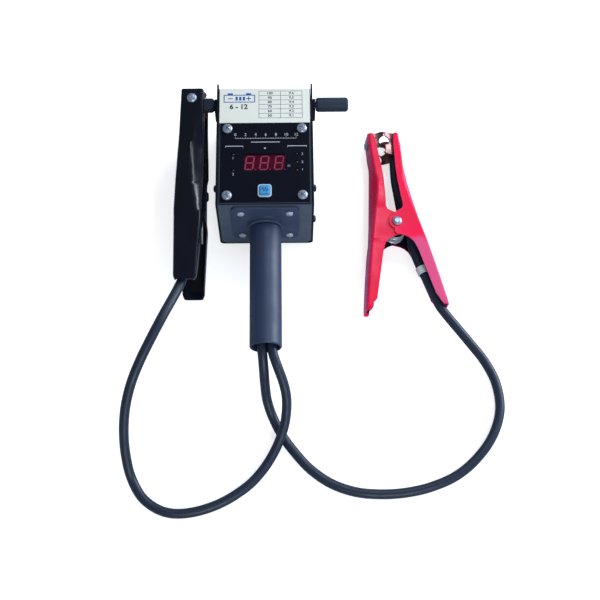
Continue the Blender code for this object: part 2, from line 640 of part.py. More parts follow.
def build_clamp(colour, place, opened, paint, copper, bright, lean, off_tail):
    """One clamp. The arm with the cable keeps still; the other one turns about the pivot."""
    still = place @ Matrix.Rotation(-opened, 4, "Z")
    moving = place @ Matrix.Rotation(opened, 4, "Z")
    arm(colour + "_cable_arm", paint, still, 1, CABLE_HALF, CABLE_TAIL)
    arm(colour + "_moving_arm", paint, moving, -1, MOVING_HALF, MOVING_TAIL)
    jaw(colour + "_cable_jaw", copper, still, 1, True)
    jaw(colour + "_moving_jaw", copper, moving, -1, False)
    jaw_rivet(colour + "_cable_jaw_rivet", bright, still, 1)
    jaw_rivet(colour + "_moving_jaw_rivet", bright, moving, -1)
    pivot_rivet(colour + "_pivot_rivet", bright, place)
    torsion_spring(colour + "_spring", bright, place, opened)
    path = cable_path(lean, off_tail)
    a, b = path[3], path[4]
    ring = CABLE_R + GAP
    profile = [
        (ring, -STRAP_L / 2), (ring + STRAP_T, -STRAP_L / 2),
        (ring + STRAP_T, STRAP_L / 2), (ring, STRAP_L / 2),
    ]
    strap = moved(turned(profile, 24, hollow=True), along(b - a, (a + b) / 2))
    tie = read(WEB, STRAP_AT) - SHEET - GAP
    root = (a.x + b.x) / 2 + (ring + STRAP_T / 2) * (b - a).length / abs(b.y - a.y)
    stem = block((root, tie), (STRAP_AT - 1.2, STRAP_AT + 1.2), (-2.5, 2.5))
    moved(stem, Matrix.Translation((0, 0, (a.z + b.z) / 2)))
    make(colour + "_cable_strap", strap, bright, still, add=[stem])
    return [still @ p for p in path]


def frame(jaws, cable_side, at):
    """A clamp's place from where its jaws point and where its cable arm lies."""
    u = Vector(jaws).normalized()
    v = Vector(cable_side)
    v = (v - u * v.dot(u)).normalized()
    w = v.cross(u)
    place = Matrix((v, u, w)).transposed().to_4x4()
    place.translation = Vector(at)
    return place


# Cables
def smooth(points, spacing=17.0):
    """Points on a smooth curve through the route, spaced for a bar of the cable's width."""
    points = [Vector(p) for p in points]
    line = [points[0]]
    for i in range(len(points) - 1):
        a, b = points[i], points[i + 1]
        before = points[i - 1] if i else a * 2 - b
        after = points[i + 2] if i + 2 < len(points) else b * 2 - a
        span = (b - a).length
        go = (b - before) * (span / ((b - a).length + (a - before).length))
        come = (after - a) * (span / ((after - b).length + (b - a).length))
        steps = max(1, round(span / spacing))
        for k in range(1, steps + 1):
            t = k / steps
            line.append(
                a * (2 * t**3 - 3 * t**2 + 1) + go * (t**3 - 2 * t**2 + t)
                + b * (3 * t**2 - 2 * t**3) + come * (t**3 - t**2)
            )
    return line


LIE = CABLE_R + GAP
BLACK_ROUTE = [
    (6.0, -178.5, 46), (10, -189.7, 41.5), (14.2, -199.7, 34), (16.9, -210.4, 26.5), (16.8, -222, 20),
    (14.6, -233.7, 14.8), (7.8, -250.3, 8.5), (-2.9, -267.2, LIE), (-16.9, -282.1, LIE),
    (-39.8, -296.2, LIE), (-64.9, -303.5, LIE), (-85.1, -302.5, LIE), (-102.8, -291.6, LIE),
    (-113.2, -274.4, 8), (-117.1, -257.4, 20), (-117.5, -240.7, 34), (-115.1, -223.9, 47),
    (-109.8, -207.3, 58), (-102.1, -191.1, 67), (-93.4, -174.7, 73), (-84.6, -157.5, 76),
]
RED_ROUTE = [
    (-2.9, -178.1, 44.5), (-1.9, -189.6, 37.5), (-1.1, -200.1, 26.5), (0.5, -210.7, 15.5),
    (4.6, -221.9, 7.5), (12.4, -237.4, LIE), (22.3, -251.7, LIE), (36.3, -267.6, LIE),
    (53.4, -279.9, LIE), (73.8, -287.4, LIE), (95.6, -289.6, LIE), (117.3, -288.3, LIE),
    (138.5, -283.5, LIE), (159.6, -274.3, LIE), (177.4, -259.9, LIE), (192.1, -240.4, LIE),
    (199.9, -217.7, LIE), (198.3, -194.2, LIE), (190.1, -174.6, 4.8), (177.8, -158.0, 7.5),
]


def build_cables(rubber, black_end, red_end):
    start = TERMINAL_Y - TERMINAL_T - GAP
    for name, x, route, end in (
        ("black_cable", 4.35, BLACK_ROUTE, black_end), ("red_cable", -4.35, RED_ROUTE, red_end),
    ):
        straight = [(x, y, HANDLE_Z) for y in (start, -66, -83, -100, -117, -134, -151, -166)]
        wire(name, smooth(straight + route + end), CABLE_R, rubber)


def main():
    clear_scene()
    navy = material("navy_enamel", (0.012, 0.016, 0.03), 0.2, 0.4)
    slate = material("slate_enamel", (0.03, 0.045, 0.06), 0.1, 0.5)
    fascia = material("fascia_black", (0.008, 0.009, 0.014), 0.0, 0.4)
    silver = material("label_silver", (0.72, 0.78, 0.75), 0.3, 0.4)
    bright = material("zinc_plate", (0.6, 0.64, 0.7), 0.9, 0.3)
    display = material("display_red", (0.25, 0.005, 0.03), 0.0, 0.4)
    clear = material("red_window", (0.3, 0.01, 0.04), 0.0, 0.2)
    green = material("board_green", (0.02, 0.12, 0.05), 0.0, 0.5)
    blue = material("button_blue", (0.05, 0.3, 0.75), 0.0, 0.35)
    pale = material("bezel_pale", (0.5, 0.68, 0.85), 0.0, 0.35)
    nichrome = material("nichrome", (0.35, 0.32, 0.3), 0.9, 0.4)
    ceramic = material("ceramic", (0.75, 0.72, 0.66), 0.0, 0.6)
    phenolic = material("phenolic", (0.15, 0.07, 0.03), 0.0, 0.6)
    grip = material("handle_plastic", (0.03, 0.045, 0.09), 0.0, 0.45)
    rubber = material("peg_rubber", (0.02, 0.03, 0.045), 0.0, 0.7)
    jacket = material("cable_jacket", (0.025, 0.035, 0.065), 0.0, 0.5)
    black = material("black_enamel", (0.006, 0.008, 0.014), 0.0, 0.2)
    red = material("red_enamel", (0.78, 0.02, 0.08), 0.0, 0.25)
    copper = material("copper", (0.72, 0.35, 0.25), 0.9, 0.35)

    build_box(navy, slate)
    build_fascia(fascia, silver, bright, display, clear, green, blue, pale)
    build_inside(nichrome, ceramic, phenolic)
    build_handle(fascia, grip, bright)
    build_pegs(navy, rubber, bright)

    tilt, yaw, roll = math.radians(8.0), math.radians(-1.08), math.radians(-2.8)
    jaws = Vector((-math.sin(yaw) * math.cos(tilt), math.cos(yaw) * math.cos(tilt), math.sin(tilt)))
    grip_at = Vector((-62.3, PEG_Y, PEG_Z))
    place = frame(jaws, (math.sin(roll), 0, math.cos(roll)), grip_at - jaws * NOTCH * math.cos(PARKED_OPEN))
    black_end = build_clamp("black", place, PARKED_OPEN, black, copper, bright, 3.2, 8.7)

    turn, lean, pitch = math.radians(5.0), math.radians(7.0), math.radians(-2.2)
    jaws = (-math.sin(turn) * math.cos(pitch), math.cos(turn) * math.cos(pitch), math.sin(pitch))
    place = frame(jaws, (math.cos(lean), 0, -math.sin(lean)), (115.3, -49.5, 15.3))
    red_end = build_clamp("red", place, 0.0, red, copper, bright, 0.0, 6.4)

    build_cables(jacket, black_end, red_end)
    bpy.context.view_layer.update()


main()
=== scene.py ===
# %% [markdown]
# # A digital load tester
# A load tester puts a heavy load on a battery for some seconds and shows the voltage that is
# left. It is a folded steel box with a fascia, a tube handle, and two sprung clamps on thick
# cables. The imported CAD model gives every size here, and this lesson dresses it: each step
# says what a piece is on the real thing, then makes it or gives it a finish.

# %% Load the frame
import json
import math

import bmesh
import bpy
from mathutils import Matrix, Vector


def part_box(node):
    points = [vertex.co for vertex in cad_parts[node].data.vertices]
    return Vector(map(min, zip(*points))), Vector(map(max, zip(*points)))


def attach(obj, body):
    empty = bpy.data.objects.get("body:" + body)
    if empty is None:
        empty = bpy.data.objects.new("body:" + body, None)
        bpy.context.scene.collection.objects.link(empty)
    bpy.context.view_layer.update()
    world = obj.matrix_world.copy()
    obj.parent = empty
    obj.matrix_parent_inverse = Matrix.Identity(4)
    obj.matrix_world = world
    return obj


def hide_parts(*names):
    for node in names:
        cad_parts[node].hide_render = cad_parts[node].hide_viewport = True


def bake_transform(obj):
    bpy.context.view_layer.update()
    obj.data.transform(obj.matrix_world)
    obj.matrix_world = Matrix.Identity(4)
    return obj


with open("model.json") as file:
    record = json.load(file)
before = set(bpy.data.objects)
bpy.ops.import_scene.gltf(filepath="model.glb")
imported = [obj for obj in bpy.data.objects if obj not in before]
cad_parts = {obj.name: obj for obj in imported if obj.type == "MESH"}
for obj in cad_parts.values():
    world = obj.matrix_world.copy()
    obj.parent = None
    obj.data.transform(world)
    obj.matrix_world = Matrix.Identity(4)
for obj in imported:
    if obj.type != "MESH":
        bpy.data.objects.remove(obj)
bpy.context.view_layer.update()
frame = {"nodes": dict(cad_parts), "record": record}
MM = 0.001
home = {}
for body, nodes in frame["record"]["behaviour"]["bodies"].items():
    for node in nodes:
        home[node] = body

# %% [markdown]
# ## Camera
# The camera comes first, so that every later step can be checked from it. It looks steeply
# down on the tester. Its place, its turn and its lens were found by fitting a camera to the
# corners of the box, so they are plain numbers.


# %% Camera
def view_matrix(elevation, azimuth, roll, at):
    """A camera's matrix. Elevation is above the horizon, and azimuth 0 looks along +Y."""
    e, a, r = (math.radians(v) for v in (elevation, azimuth, roll))
    back = Vector((math.sin(a) * math.cos(e), -math.cos(a) * math.cos(e), math.sin(e)))
    right = Vector((math.cos(a), math.sin(a), 0))
    up = back.cross(right)
    turned_right = right * math.cos(r) + up * math.sin(r)
    turned_up = up * math.cos(r) - right * math.sin(r)
    matrix = Matrix((turned_right, turned_up, back)).transposed().to_4x4()
    matrix.translation = at
    return matrix


lens = bpy.data.cameras.new("camera")
lens.lens, lens.sensor_width = 70.70, 36.0
lens.clip_start, lens.clip_end = 0.01, 20.0
camera = bpy.data.objects.new("camera", lens)
bpy.context.scene.collection.objects.link(camera)
camera.matrix_world = view_matrix(
    elevation=68.474, azimuth=-1.3, roll=0.686, at=(0.02081, -0.4988, 0.97875)
)
bpy.context.scene.camera = camera
bpy.context.scene.view_settings.view_transform = "Standard"
print("camera at", tuple(round(v, 3) for v in camera.location))

# %% [markdown]
# ## Light and floor
# A product picture has soft light from all sides and a white ground with a faint shadow. The
# world gives part of the light. Light Path makes it white where the camera sees it and dim
# where gloss mirrors it, so that dark enamel stays dark.

# %% World
AMBIENT, MIRRORED_ROOM = 0.39, 0.2
ROOM_TINT, PLAIN_WHITE = (0.9, 0.94, 1, 1), (1, 1, 1, 1)
world = bpy.data.worlds.new("studio")
bpy.context.scene.world = world
world.use_nodes = True
tree = world.node_tree
background = tree.nodes["Background"]
path = tree.nodes.new("ShaderNodeLightPath")
mirrored = tree.nodes.new("ShaderNodeMix")
tree.links.new(path.outputs["Is Glossy Ray"], mirrored.inputs["Factor"])
mirrored.inputs["A"].default_value, mirrored.inputs["B"].default_value = AMBIENT, MIRRORED_ROOM
seen = tree.nodes.new("ShaderNodeMath")
seen.operation = "MAXIMUM"
tree.links.new(path.outputs["Is Camera Ray"], seen.inputs[0])
tree.links.new(path.outputs["Is Transmission Ray"], seen.inputs[1])
strength = tree.nodes.new("ShaderNodeMix")
tree.links.new(seen.outputs[0], strength.inputs["Factor"])
tree.links.new(mirrored.outputs["Result"], strength.inputs["A"])
strength.inputs["B"].default_value = 1.0
tree.links.new(strength.outputs["Result"], background.inputs["Strength"])
tint = tree.nodes.new("ShaderNodeMix")
tint.data_type = "RGBA"
tree.links.new(seen.outputs[0], tint.inputs["Factor"])
tint.inputs[6].default_value, tint.inputs[7].default_value = ROOM_TINT, PLAIN_WHITE
tree.links.new(tint.outputs[2], background.inputs["Color"])
print("world at", AMBIENT, "and", MIRRORED_ROOM, "in a mirror")

# %% [markdown]
# A tall soft lamp on the right draws the wide highlight along the handle. A small one at the
# back draws the streak on the black clamp's crowned back. Both lie where those pieces mirror
# the camera's line of sight. A third one fills the sides that face the camera.

# %% Lamps
LAMP_COLOUR = (0.85, 0.93, 1.0)


def softbox(name, at, aim, size, power):
    """A rectangular lamp that points at a place. Its first side lies along Y."""
    data = bpy.data.lights.new(name, "AREA")
    data.shape = "RECTANGLE"
    data.size, data.size_y = size
    data.energy = power
    data.color = LAMP_COLOUR
    lamp = bpy.data.objects.new(name, data)
    bpy.context.scene.collection.objects.link(lamp)
    back = (Vector(at) - Vector(aim)).normalized()
    along = (Vector((0, 1, 0)) - back * back.y).normalized()
    turn = Matrix((along, back.cross(along), back)).transposed().to_4x4()
    lamp.matrix_world = Matrix.Translation(at) @ turn
    print(name, power, "W")


softbox("strip_right", at=(1.28, 0.5, 0.5), aim=(0, -0.1, 0.05), size=(1.1, 0.75), power=22.0)
softbox("streak_back", at=(0.4, 0.74, 1.28), aim=(-0.06, 0, 0.05), size=(0.45, 0.14), power=4.0)
softbox("fill_front", at=(0.35, -1.35, 1.0), aim=(0, 0, 0), size=(0.8, 0.8), power=9.5)

# %% [markdown]
# The floor is pale, with a little of its own light towards the camera only, so the shadow
# stays. Gloss sees it dimmed, as it would see a room beyond a small sheet of paper. It lies a
# hair below the tester, so that the two never share a plane.

# %% Floor
FLOOR_GAP, FLOOR_SIDE, FLOOR_GLOW = 0.0004, 30, 0.64
PAPER, PAPER_IN_GLOSS = (0.86, 0.87, 0.88, 1), (0.5, 0.56, 0.7, 1)
bpy.ops.mesh.primitive_plane_add(size=FLOOR_SIDE, location=(0, 0, -FLOOR_GAP))
floor = bpy.context.object
floor.name = "floor"
ground = bpy.data.materials.new("pale_ground")
ground.use_nodes = True
floor.data.materials.append(ground)
tree = ground.node_tree
shader = tree.nodes["Principled BSDF"]
shader.inputs["Roughness"].default_value = 0.9
shader.inputs["Specular IOR Level"].default_value = 0.1
shader.inputs["Emission Color"].default_value = PLAIN_WHITE
path = tree.nodes.new("ShaderNodeLightPath")
glow = tree.nodes.new("ShaderNodeMath")
glow.operation = "MULTIPLY"
glow.inputs[1].default_value = FLOOR_GLOW
tree.links.new(path.outputs["Is Camera Ray"], glow.inputs[0])
dim = tree.nodes.new("ShaderNodeMix")
dim.data_type = "RGBA"
tree.links.new(path.outputs["Is Glossy Ray"], dim.inputs["Factor"])
dim.inputs[6].default_value, dim.inputs[7].default_value = PAPER, PAPER_IN_GLOSS
tree.links.new(dim.outputs[2], shader.inputs["Base Color"])
tree.links.new(glow.outputs[0], shader.inputs["Emission Strength"])
print("floor ready")

# %% [markdown]
# ## Finishes
# Real paint is never one flat colour: it drifts slightly in shade and gloss, and it has a
# fine texture from the spray gun or the mould. One node group makes that drift and that
# grain, and each finish places it with its own values. Streaks along one axis, as on brushed
# or rolled metal, come from the same group with its pattern stretched by a Mapping node.


# %% The surface group
def socket(group, name, kind, way, value=None):
    """A named socket of a node group, on its way in or out."""
    made = group.interface.new_socket(name=name, in_out=way, socket_type=kind)
    if value is not None:
        made.default_value = value


def build_surface_group():
    """Colour, roughness and height of a surface that drifts in shade and has a fine grain."""
    group = bpy.data.node_groups.new("surface_drift", "ShaderNodeTree")
    socket(group, "Vector", "NodeSocketVector", "INPUT")
    socket(group, "Colour", "NodeSocketColor", "INPUT", (0.5, 0.5, 0.5, 1))
    socket(group, "Shade", "NodeSocketColor", "INPUT", (0.3, 0.3, 0.3, 1))
    for name, value in (
        ("Drift Scale", 40.0), ("Drift", 0.3), ("Grain Scale", 900.0), ("Speckle", 0.1),
        ("Roughness", 0.4), ("Roughness Drift", 0.1),
    ):
        socket(group, name, "NodeSocketFloat", "INPUT", value)
    socket(group, "Colour", "NodeSocketColor", "OUTPUT")
    socket(group, "Roughness", "NodeSocketFloat", "OUTPUT")
    socket(group, "Height", "NodeSocketFloat", "OUTPUT")
    nodes, links = group.nodes, group.links
    given, out = nodes.new("NodeGroupInput"), nodes.new("NodeGroupOutput")

    def noise(scale, detail):
        made = nodes.new("ShaderNodeTexNoise")
        made.inputs["Detail"].default_value = detail
        links.new(given.outputs["Vector"], made.inputs["Vector"])
        links.new(given.outputs[scale], made.inputs["Scale"])
        return made.outputs["Fac"]

    def maths(operation, *values):
        made = nodes.new("ShaderNodeMath")
        made.operation = operation
        for i, value in enumerate(values):
            if isinstance(value, float):
                made.inputs[i].default_value = value
            else:
                links.new(value, made.inputs[i])
        return made.outputs[0]

    drift = nodes.new("ShaderNodeMapRange")
    drift.inputs["From Min"].default_value, drift.inputs["From Max"].default_value = 0.38, 0.62
    links.new(noise("Drift Scale", 3.0), drift.inputs["Value"])
    cloud = drift.outputs["Result"]
    grain = noise("Grain Scale", 2.0)
    amount = maths("MULTIPLY", cloud, given.outputs["Drift"])
    specks = maths("MULTIPLY", grain, given.outputs["Speckle"])
    mix = nodes.new("ShaderNodeMix")
    mix.data_type = "RGBA"
    links.new(maths("ADD", amount, specks), mix.inputs["Factor"])
    links.new(given.outputs["Colour"], mix.inputs[6])
    links.new(given.outputs["Shade"], mix.inputs[7])
    links.new(mix.outputs[2], out.inputs["Colour"])
    spread = maths("MULTIPLY", maths("SUBTRACT", cloud, 0.5), given.outputs["Roughness Drift"])
    links.new(maths("ADD", given.outputs["Roughness"], spread), out.inputs["Roughness"])
    links.new(grain, out.inputs["Height"])
    return group


surface_drift = build_surface_group()
print("surface group with", len(surface_drift.nodes), "nodes")


# %% Colours and finishes
def linear(r, g, b):
    """The colour that a screen shows as r, g and b out of 255."""
    return tuple((v / 255 / 12.92) if v <= 10 else ((v / 255 + 0.055) / 1.055) ** 2.4
                 for v in (r, g, b)) + (1.0,)


def finish(name, colour, shade, rough, drift=(40, 0.35), grain=(900, 0.1), bump=0.00002,
           gloss_drift=0.12, metallic=0.0, specular=0.5, stretch=(1, 1, 1), alpha=1.0):
    """A material on the surface group. Colours are out of 255, and the bump is in metres.
    Drift and grain are each a scale per metre and a strength."""
    made = bpy.data.materials.new(name)
    made.use_nodes = True
    tree = made.node_tree
    shader = tree.nodes["Principled BSDF"]
    where = tree.nodes.new("ShaderNodeTexCoord")
    mapping = tree.nodes.new("ShaderNodeMapping")
    mapping.inputs["Scale"].default_value = stretch
    tree.links.new(where.outputs["Object"], mapping.inputs["Vector"])
    group = tree.nodes.new("ShaderNodeGroup")
    group.node_tree = surface_drift
    tree.links.new(mapping.outputs["Vector"], group.inputs["Vector"])
    values = {
        "Colour": linear(*colour), "Shade": linear(*shade), "Drift Scale": drift[0],
        "Drift": drift[1], "Grain Scale": grain[0], "Speckle": grain[1], "Roughness": rough,
        "Roughness Drift": gloss_drift,
    }
    for key, value in values.items():
        group.inputs[key].default_value = value
    tree.links.new(group.outputs["Colour"], shader.inputs["Base Color"])
    tree.links.new(group.outputs["Roughness"], shader.inputs["Roughness"])
    relief = tree.nodes.new("ShaderNodeBump")
    relief.inputs["Distance"].default_value = bump
    tree.links.new(group.outputs["Height"], relief.inputs["Height"])
    tree.links.new(relief.outputs["Normal"], shader.inputs["Normal"])
    shader.inputs["Metallic"].default_value = metallic
    shader.inputs["Specular IOR Level"].default_value = specular
    shader.inputs["Alpha"].default_value = alpha
    return made


print("white is", linear(255, 255, 255))

# %% [markdown]
# The colours are chosen for a cool, slightly blue studio light. Dark enamels mirror
# little, so their specular level is low; otherwise a white studio would turn them grey. Ink
# and label come first, then plated metal, plastic and rubber, then the clamps' paint.

# %% Finishes of the box
box_enamel = finish("navy_enamel", (18, 23, 37), (11, 14, 25), 0.42, specular=0.1,
                    grain=(1400, 0.15), bump=0.00004)
cover_enamel = finish("slate_enamel", (84, 98, 116), (72, 86, 104), 0.5, specular=0.2,
                      grain=(1400, 0.2), bump=0.00005)
fascia_print = finish("fascia_black", (14, 18, 31), (9, 12, 23), 0.4, specular=0.06,
                      grain=(1600, 0.1), bump=0.00002)
white_print = finish("white_print", (206, 211, 222), (176, 184, 202), 0.5, specular=0.2,
                     grain=(2600, 0.4))
blue_print = finish("blue_print", (44, 92, 168), (58, 108, 180), 0.5, specular=0.2,
                    grain=(2600, 0.4))
dark_print = finish("dark_print", (44, 56, 78), (66, 78, 100), 0.5, specular=0.2,
                    grain=(2600, 0.4))
label_metal = finish("label_silver", (242, 244, 236), (227, 232, 225), 0.4, metallic=0.1,
                     drift=(30, 0.25), grain=(700, 0.25), specular=0.3, stretch=(0.12, 1, 1))
print("box and inks mixed")

# %% Finishes of the metal, plastic and rubber parts
zinc = finish("zinc_plate", (176, 188, 208), (128, 140, 164), 0.34, metallic=0.55,
              drift=(260, 0.5), grain=(2400, 0.25), bump=0.00002)
spring_wire = finish("spring_wire", (206, 214, 226), (164, 174, 192), 0.32, metallic=0.4,
                     drift=(200, 0.4), grain=(2000, 0.2), bump=0.00001)
strap_steel = finish("strap_steel", (236, 242, 248), (206, 214, 224), 0.3, metallic=0.2,
                     drift=(200, 0.4), grain=(2000, 0.2), bump=0.00001)
handle_grip = finish("handle_plastic", (40, 56, 90), (33, 47, 77), 0.5, specular=0.6,
                     grain=(1900, 0.2), bump=0.00004)
flange_enamel = finish("flange_enamel", (62, 74, 102), (53, 64, 90), 0.45, specular=0.2,
                       grain=(1300, 0.2), bump=0.00003)
peg_rubber = finish("peg_rubber", (46, 58, 76), (37, 48, 64), 0.6, specular=0.25,
                    grain=(1500, 0.3), bump=0.00006)
cable_jacket = finish("cable_jacket", (34, 46, 68), (27, 36, 54), 0.4, specular=0.45,
                      drift=(120, 0.4), grain=(1800, 0.2), bump=0.00004)
print("metal, plastic and rubber mixed")

# %% Finishes of the clamps
black_gloss = finish("black_enamel", (5, 10, 25), (9, 14, 32), 0.18, specular=0.4,
                     drift=(35, 0.5), grain=(500, 0.1), bump=0.00001, gloss_drift=0.06)
red_gloss = finish("red_enamel", (242, 25, 75), (224, 15, 63), 0.28, specular=0.16,
                   drift=(38, 0.6), grain=(800, 0.12), bump=0.00002, gloss_drift=0.12)
copper = finish("copper", (158, 110, 106), (66, 42, 50), 0.28, metallic=0.7,
                drift=(150, 0.75), grain=(1500, 0.35), bump=0.00006)
# painted shade: dark finishes for the arms' hollows, where shade falls inside them
hollow_shades = {
    "black": finish("black_painted_shade", (13, 14, 22), (9, 10, 16), 0.4, specular=0.2),
    "red": finish("plum_painted_shade", (38, 16, 48), (28, 14, 38), 0.5, specular=0.15),
}
print("clamps mixed")

# %% [markdown]
# Painted reflection: a little purple sheen in the red enamel's shader paints the bluish room
# that its sides mirror when seen edge-on, at grazing angles, and leaves the rest red.

# %% Painted reflection: a purple sheen on the red enamel
# the sheen's weight, spread and tint paint a reflection of a bluish room
REFLECTION_SHEEN, REFLECTION_SHEEN_SPREAD, REFLECTION_SHEEN_TINT = 0.65, 0.35, (0.34, 0.2, 0.72, 1)
shader = red_gloss.node_tree.nodes["Principled BSDF"]
shader.inputs["Sheen Weight"].default_value = REFLECTION_SHEEN
shader.inputs["Sheen Roughness"].default_value = REFLECTION_SHEEN_SPREAD
shader.inputs["Sheen Tint"].default_value = REFLECTION_SHEEN_TINT
print("painted_reflection_sheen on", red_gloss.name)

# %% Finishes of the display, the button and the inside
blue_cap = finish("button_blue", (66, 156, 212), (56, 144, 202), 0.34, grain=(1600, 0.1))
symbol_blue = finish("symbol_blue", (30, 92, 160), (24, 80, 146), 0.4, grain=(2000, 0.3))
pale_frame = finish("bezel_pale", (190, 214, 238), (176, 201, 228), 0.36, grain=(1600, 0.1))
switch_black = finish("switch_black", (18, 18, 22), (12, 12, 15), 0.5, specular=0.25)
lens_red = finish("window_red", (58, 4, 26), (46, 2, 20), 0.14, specular=0.35, bump=0.00001,
                  gloss_drift=0.06, alpha=0.26)
module_dark = finish("module_dark", (112, 8, 46), (94, 6, 40), 0.4, specular=0.1)
segment_red = finish("segment_red", (250, 112, 158), (236, 92, 140), 0.45, specular=0.1)
screw_black = finish("screw_black", (26, 32, 48), (18, 23, 37), 0.34, specular=0.4)
# painted highlight: a pale line where the fascia's edge catches the light
painted_edge_highlight = finish("painted_edge_highlight", (74, 84, 106), (60, 70, 92), 0.45, specular=0.2)
led_red = finish("led_red", (34, 12, 24), (22, 8, 18), 0.16, specular=0.6, gloss_drift=0.05,
                 drift=(500, 0.6), bump=0.00001)
board_green = finish("board_green", (16, 92, 52), (10, 70, 40), 0.35, drift=(90, 0.6))
ceramic = finish("ceramic", (226, 220, 206), (204, 196, 180), 0.65, grain=(1300, 0.3))
phenolic = finish("phenolic", (86, 52, 30), (64, 38, 22), 0.5, drift=(60, 0.6),
                  stretch=(1, 0.15, 1))
nichrome = finish("nichrome", (118, 108, 102), (84, 70, 66), 0.4, metallic=0.85,
                  drift=(90, 0.7))
print(len(bpy.data.materials), "finishes")

# %% [markdown]
# ## Cables
# Each cable runs from the terminal board, out through the tube handle, down to the table and
# on to its clamp. It is a curve with a round section. Its route is the same list of points
# that the CAD model has, in millimetres, joined by a smooth curve with a point every 3 mm.

# %% Cable routes
CABLE_R = 0.00415
SPACING = 3.0
AXIS_HEIGHT = 47.2                      # of the handle, where the cables run straight
STRAIGHT = (-49.3, -66, -83, -100, -117, -134, -151, -166)
LIE = 4.45                              # the middle of a cable that lies on the table
BLACK_ROUTE = [
    (6.0, -178.5, 46), (10, -189.7, 41.5), (14.2, -199.7, 34), (16.9, -210.4, 26.5),
    (16.8, -222, 20), (14.6, -233.7, 14.8), (7.8, -250.3, 8.5), (-2.9, -267.2, LIE),
    (-16.9, -282.1, LIE), (-39.8, -296.2, LIE), (-64.9, -303.5, LIE), (-85.1, -302.5, LIE),
    (-102.8, -291.6, LIE), (-113.2, -274.4, 8), (-117.1, -257.4, 20), (-117.5, -240.7, 34),
    (-115.1, -223.9, 47), (-109.8, -207.3, 58), (-102.1, -191.1, 67), (-93.4, -174.7, 73),
    (-84.6, -157.5, 76),
    (-69.8, -121.6, 68.1), (-68.8, -112.4, 68.0), (-67.9, -101.1, 67.6), (-67.0, -89.8, 67.1),
    (-66.4, -79.4, 66.1), (-65.9, -69.2, 65.8), (-65.4, -59.0, 65.8), (-65.0, -48.3, 68.4),
    (-64.6, -36.4, 70.3), (-64.1, -20.2, 70.4), (-63.6, 2.1, 71.4), (-63.2, 30.2, 78.5),
]
RED_ROUTE = [
    (-2.9, -178.1, 44.5), (-1.9, -189.6, 37.5), (-1.1, -200.1, 26.5), (0.5, -210.7, 15.5),
    (4.6, -221.9, 7.5), (12.4, -237.4, LIE), (22.3, -251.7, LIE), (36.3, -267.6, LIE),
    (53.4, -279.9, LIE), (73.8, -287.4, LIE), (95.6, -289.6, LIE), (117.3, -288.3, LIE),
    (138.5, -283.5, LIE), (159.6, -274.3, LIE), (177.4, -259.9, LIE), (192.1, -240.4, LIE),
    (199.9, -217.7, LIE), (198.3, -194.2, LIE), (190.1, -174.6, 4.8), (177.8, -158.0, 7.5),
    (152.6, -126.6, 14.5), (149.2, -117.9, 14.5), (144.8, -107.2, 14.5), (140.4, -96.6, 14.5),
    (136.5, -86.9, 14.5), (133.3, -77.1, 14.4), (130.5, -67.3, 14.3), (130.0, -56.3, 13.8),
    (128.4, -44.4, 13.4), (124.0, -28.7, 13.2), (118.7, -7.1, 12.8), (117.7, 21.9, 11.5),
]
print(len(BLACK_ROUTE), "points on the black route,", len(RED_ROUTE), "on the red one")


# %% Lay the cables
def smooth(points, spacing):
    """Points on a smooth curve through the route."""
    points = [Vector(p) for p in points]
    line = [points[0]]
    for i in range(len(points) - 1):
        a, b = points[i], points[i + 1]
        before = points[i - 1] if i else a * 2 - b
        after = points[i + 2] if i + 2 < len(points) else b * 2 - a
        span = (b - a).length
        go = (b - before) * (span / ((b - a).length + (a - before).length))
        come = (after - a) * (span / ((after - b).length + (b - a).length))
        steps = max(1, round(span / spacing))
        for k in range(1, steps + 1):
            t = k / steps
            line.append(
                a * (2 * t**3 - 3 * t**2 + 1) + go * (t**3 - 2 * t**2 + t)
                + b * (3 * t**2 - 2 * t**3) + come * (t**3 - t**2)
            )
    return line


def lay_cable(colour, x, route):
    """A round cable on its route, and its length. It starts at x, in millimetres."""
    data = bpy.data.curves.new(colour + "_lead", "CURVE")
    data.dimensions = "3D"
    data.bevel_depth = CABLE_R
    data.bevel_resolution = 5
    data.use_fill_caps = True
    points = smooth([(x, y, AXIS_HEIGHT) for y in STRAIGHT] + route, SPACING)
    line = data.splines.new("POLY")
    line.points.add(len(points) - 1)
    for spot, point in zip(line.points, points):
        spot.co = (*(point * MM), 1.0)
    data.materials.append(cable_jacket)
    made = bpy.data.objects.new(colour + "_lead", data)
    bpy.context.scene.collection.objects.link(made)
    length = sum((b - a).length for a, b in zip(points, points[1:])) * MM
    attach(made, "tester")
    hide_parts(colour + "_cable")
    print(colour, "cable", round(length, 3), "m")
    return made, length


for colour, x, route in (("black", 4.35, BLACK_ROUTE), ("red", -4.35, RED_ROUTE)):
    lay_cable(colour, x, route)

# %% [markdown]
# ## Dressing a CAD piece
# The CAD solids have hard edges and flat facets. A pressed or moulded piece has small rounds
# that catch the light. A copy of the CAD mesh is merged, its flat facets are dissolved, the
# sharp edges are bevelled, and its curved faces are shaded smooth. This keeps every size.


# %% Helpers for pieces
MERGE, FLAT_ANGLE = 2e-6, 0.7           # metres and degrees


def place_piece(name, mesh, material, body, replaced=(), smooth_angle=35, keep_flat=True):
    """A finished piece from a bmesh in metres, in the frame's own place. One that bends
    between two bodies is given none to ride on."""
    for face in mesh.faces:
        face.smooth = True
    for line in mesh.edges:
        if len(line.link_faces) == 2:
            line.smooth = line.calc_face_angle(0) < math.radians(smooth_angle)
    data = bpy.data.meshes.new(name)
    mesh.to_mesh(data)
    mesh.free()
    data.materials.append(material)
    made = bpy.data.objects.new(name, data)
    bpy.context.scene.collection.objects.link(made)
    if keep_flat:
        weights = made.modifiers.new("weights", "WEIGHTED_NORMAL")
        weights.keep_sharp = True
    if body:
        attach(made, body)
    if replaced:
        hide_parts(*replaced)
    return made


